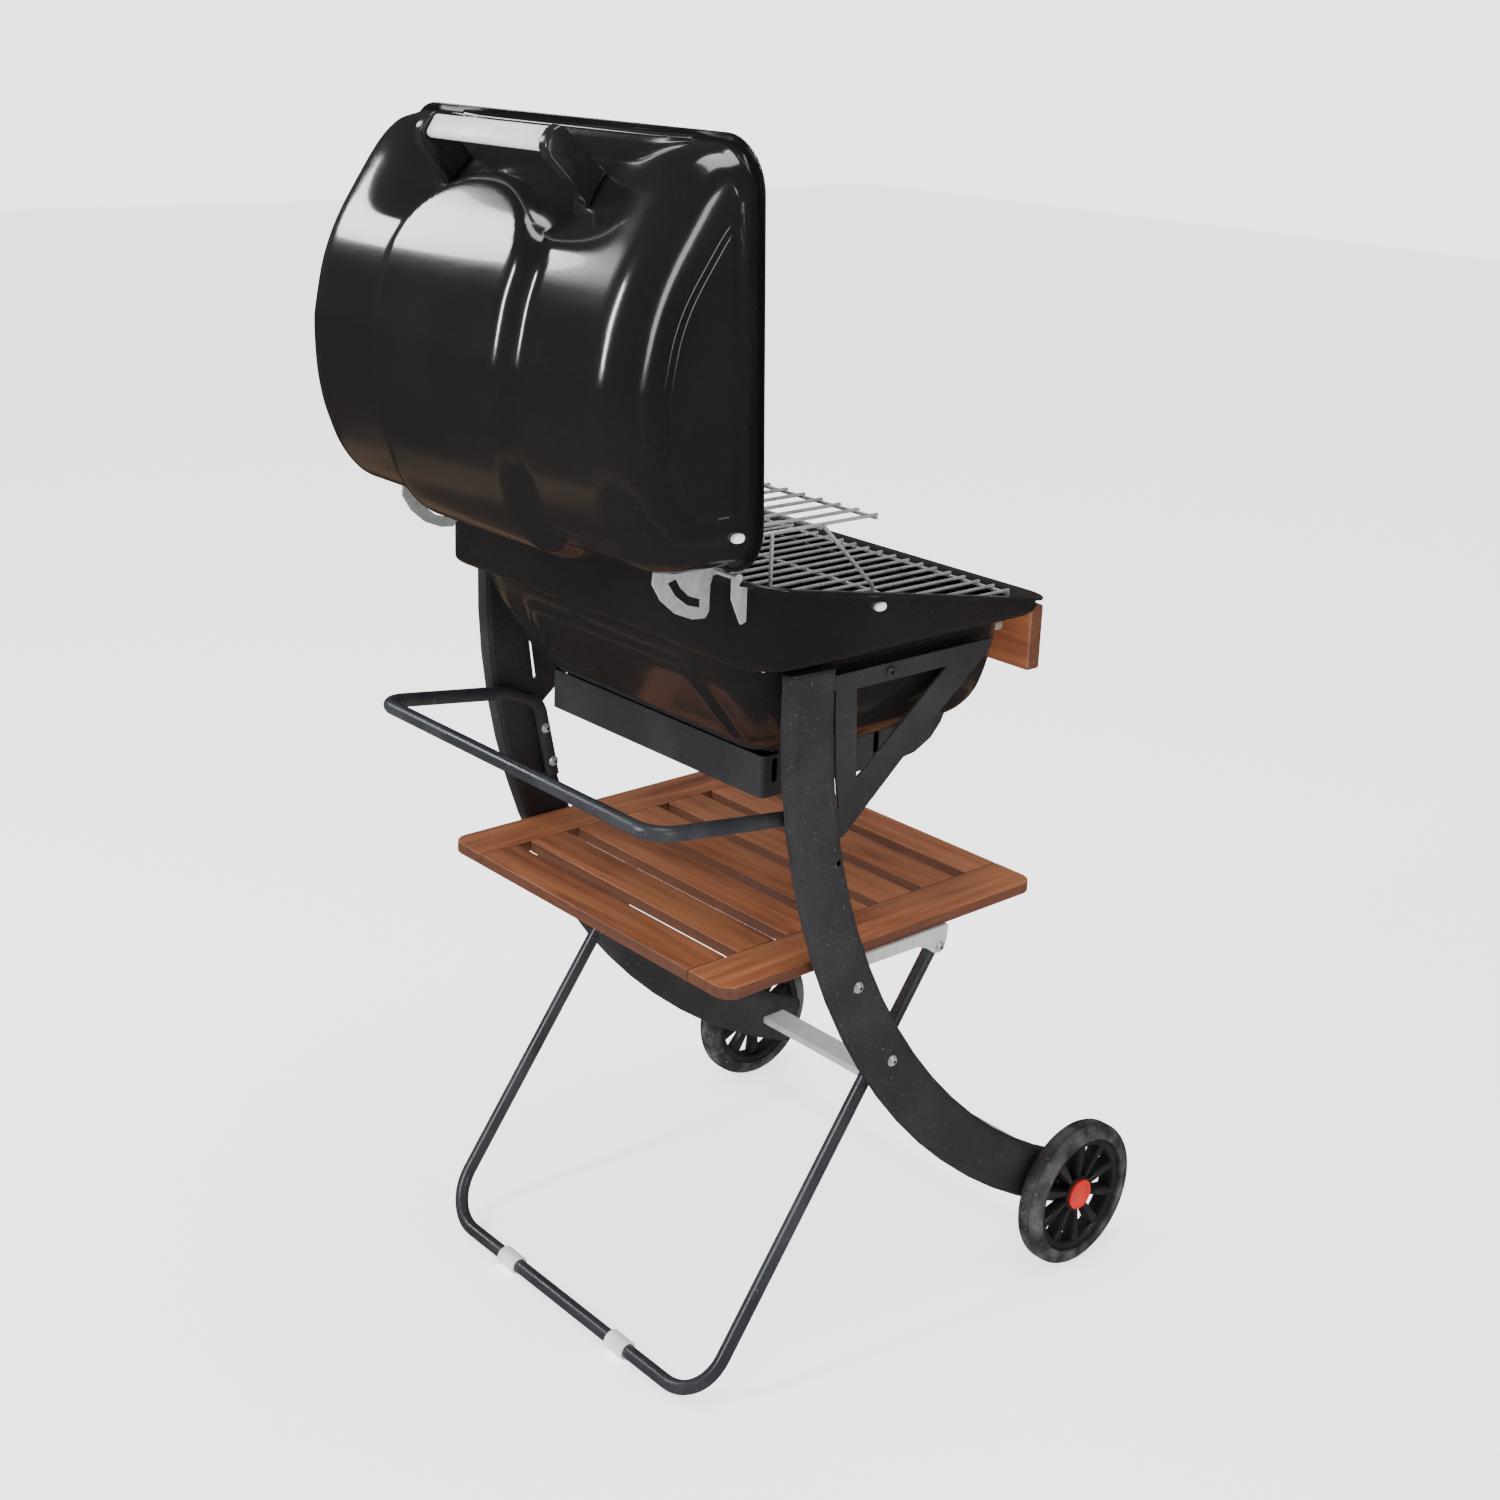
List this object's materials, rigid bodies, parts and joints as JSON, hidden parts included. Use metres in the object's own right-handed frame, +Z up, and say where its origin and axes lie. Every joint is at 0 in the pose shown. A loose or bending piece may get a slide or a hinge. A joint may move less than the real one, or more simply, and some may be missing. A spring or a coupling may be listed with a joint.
{
  "type": "charcoal grill",
  "caption": "Rectangular charcoal grill with a hinged half-barrel lid on a folding cart with wheels, a slatted wooden shelf, a swing-out leg and a push handle.",
  "frame": {"origin": "on the floor, under the middle of the grill's bounding box with the lid open", "axes": "+Z up; the cook stands at -Y, where the wheels are; the lid hinges at +Y; +X to the cook's right"},
  "size_m": [0.615, 0.7975, 1.3268],
  "materials": {
    "black_powder_coat": "satin black powder coat",
    "black_enamel": "glossy black enamel",
    "black_tube_paint": "satin black paint",
    "oiled_hardwood": "oiled reddish hardwood",
    "bright_zinc": "bright zinc plate",
    "pale_aluminium": "plain pale aluminium",
    "plated_wire": "plated steel wire",
    "black_plastic": "glossy moulded plastic",
    "white_plastic": "matte moulded plastic",
    "red_plastic": "glossy moulded plastic",
    "tyre_rubber": "dark moulded tyre",
    "pale_grip": "smooth pale bar"
  },
  "bodies": {
    "frame": {"side_leg_left": "black_powder_coat", "side_leg_right": "black_powder_coat", "leg_plug_left": "black_plastic", "leg_plug_right": "black_plastic", "bowl_bracket_left": "black_powder_coat", "bowl_bracket_right": "black_powder_coat", "front_bar_bolt_left": "bright_zinc", "front_bar_bolt_right": "bright_zinc", "handle_bolt_left": "bright_zinc", "handle_bolt_right": "bright_zinc", "shelf_bolt_left": "bright_zinc", "shelf_bolt_right": "bright_zinc", "stop_bolt_left": "bright_zinc", "stop_bolt_right": "bright_zinc", "bowl_bolt_left": "bright_zinc", "bowl_bolt_right": "bright_zinc", "hinge_bracket_left": "bright_zinc", "hinge_bracket_right": "bright_zinc", "hinge_pin_left": "bright_zinc", "hinge_pin_right": "bright_zinc", "front_bar": "oiled_hardwood", "push_handle": "black_tube_paint", "axle_channel": "pale_aluminium", "wheel_axle": "bright_zinc", "bowl": "black_enamel", "ash_box": "black_powder_coat"},
    "lid": {"lid": "black_enamel", "handle_grip": "pale_grip", "lid_hinge_plate_left": "bright_zinc", "lid_hinge_plate_right": "bright_zinc", "handle_support_left": "black_plastic", "handle_support_right": "black_plastic"},
    "shelf": {"shelf_slat_1": "oiled_hardwood", "shelf_slat_2": "oiled_hardwood", "shelf_slat_3": "oiled_hardwood", "shelf_slat_4": "oiled_hardwood", "shelf_slat_5": "oiled_hardwood", "shelf_slat_6": "oiled_hardwood", "shelf_slat_7": "oiled_hardwood", "shelf_rail_left": "oiled_hardwood", "shelf_rail_right": "oiled_hardwood", "shelf_bracket_left": "pale_aluminium", "shelf_bracket_right": "pale_aluminium", "pivot_bolt_left": "bright_zinc", "pivot_bolt_right": "bright_zinc"},
    "swing_leg": {"swing_leg": "black_tube_paint", "foot_sleeve_left": "white_plastic", "foot_sleeve_right": "white_plastic"},
    "wheel_left": {"wheel_left": "black_plastic", "tyre_left": "tyre_rubber", "hub_cap_left": "red_plastic"},
    "wheel_right": {"wheel_right": "black_plastic", "tyre_right": "tyre_rubber", "hub_cap_right": "red_plastic"},
    "cooking_grate": {"cooking_grate": "plated_wire"},
    "charcoal_grate": {"charcoal_grate": "plated_wire"},
    "warming_rack": {"warming_rack": "plated_wire", "rack_leg_left": "plated_wire", "rack_leg_right": "plated_wire"}
  },
  "joints": [
    {"name": "lid_hinge", "type": "hinge", "parent": "frame", "child": "lid", "pos_m": [0, 0.223, 0.9225], "axis": [-1, 0, 0], "range_deg": [-102.6, 0]},
    {"name": "wheel_left_spin", "type": "hinge", "parent": "frame", "child": "wheel_left", "pos_m": [-0.2925, -0.3095, 0.089], "axis": [1, 0, 0], "continuous": true},
    {"name": "wheel_right_spin", "type": "hinge", "parent": "frame", "child": "wheel_right", "pos_m": [0.2925, -0.3095, 0.089], "axis": [1, 0, 0], "continuous": true},
    {"name": "shelf_fold", "type": "hinge", "parent": "frame", "child": "shelf", "pos_m": [0, 0.0555, 0.46], "axis": [1, 0, 0], "range_deg": [-36, 0]},
    {"name": "swing_leg_fold", "type": "hinge", "parent": "shelf", "child": "swing_leg", "pos_m": [0, -0.0885, 0.4575], "axis": [1, 0, 0], "range_deg": [-57, 0]},
    {"name": "cooking_grate_lift", "type": "slide", "parent": "frame", "child": "cooking_grate", "axis": [0, 0, 1], "range_m": [0, 0.12]},
    {"name": "charcoal_grate_lift", "type": "slide", "parent": "frame", "child": "charcoal_grate", "axis": [0, 0, 1], "range_m": [0, 0.075]},
    {"name": "warming_rack_lift", "type": "slide", "parent": "cooking_grate", "child": "warming_rack", "axis": [0, 0, 1], "range_m": [0, 0.1]}
  ]
}
